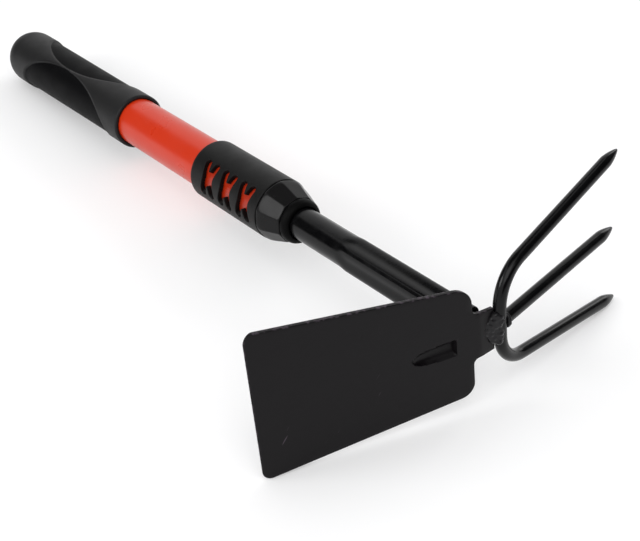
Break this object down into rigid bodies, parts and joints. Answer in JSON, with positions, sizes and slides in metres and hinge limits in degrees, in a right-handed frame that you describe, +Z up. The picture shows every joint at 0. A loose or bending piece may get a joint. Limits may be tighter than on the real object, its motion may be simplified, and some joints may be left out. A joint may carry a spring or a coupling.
{
  "type": "double hoe",
  "caption": "Hand hoe with a blade on one side and pointed tines on the other, on a telescopic handle with a twist lock and a rubber grip.",
  "frame": {"origin": "middle of the bottom of the box round the tool", "axes": "+Y along the shaft from the head to the grip, +X towards the tips of the tines, +Z up across the width of the head"},
  "size_m": [0.2128, 0.456, 0.0861],
  "materials": {
    "red_paint": "satin red paint",
    "black_paint": "satin black paint",
    "steel": "bare steel",
    "grip_rubber": "matt black rubber",
    "sleeve_rubber": "matt dark grey rubber",
    "ring_rubber": "smooth black rubber",
    "nut_plastic": "glossy black plastic",
    "nylon": "natural nylon"
  },
  "bodies": {
    "handle": {"outer_tube": "red_paint", "rear_grip": "grip_rubber", "tube_plug": "nylon", "collar_core": "nut_plastic", "collar_sleeve": "sleeve_rubber", "front_bush": "nylon", "collet": "nylon"},
    "nut_thrust": {"pressure_ring": "nylon"},
    "nut": {"lock_nut": "nut_plastic", "nose_ring": "ring_rubber"},
    "head": {"inner_tube": "black_paint", "rear_bush": "nylon", "bush_pin": "steel", "inner_plug": "nylon", "shank": "steel", "neck_weld": "black_paint", "hoe_blade": "black_paint", "tine_fork": "black_paint", "middle_tine": "black_paint", "fork_weld_front": "black_paint", "fork_weld_back": "black_paint", "tine_weld": "black_paint"}
  },
  "joints": [
    {"name": "telescope", "type": "slide", "parent": "handle", "child": "head", "axis": [0, -1, 0], "range_m": [-0.035, 0.165]},
    {"name": "nut_travel", "type": "slide", "parent": "handle", "child": "nut_thrust", "axis": [0, -1, 0], "range_m": [0, 0.001]},
    {"name": "nut_turn", "type": "hinge", "parent": "nut_thrust", "child": "nut", "pos_m": [-0.00093, -0.07903, 0.04304], "axis": [0, -1, 0], "range_deg": [0, 120]}
  ],
  "couplings": [
    {"joint": "nut_travel", "follows": "nut_turn", "m_per_rad": 0.000477}
  ]
}
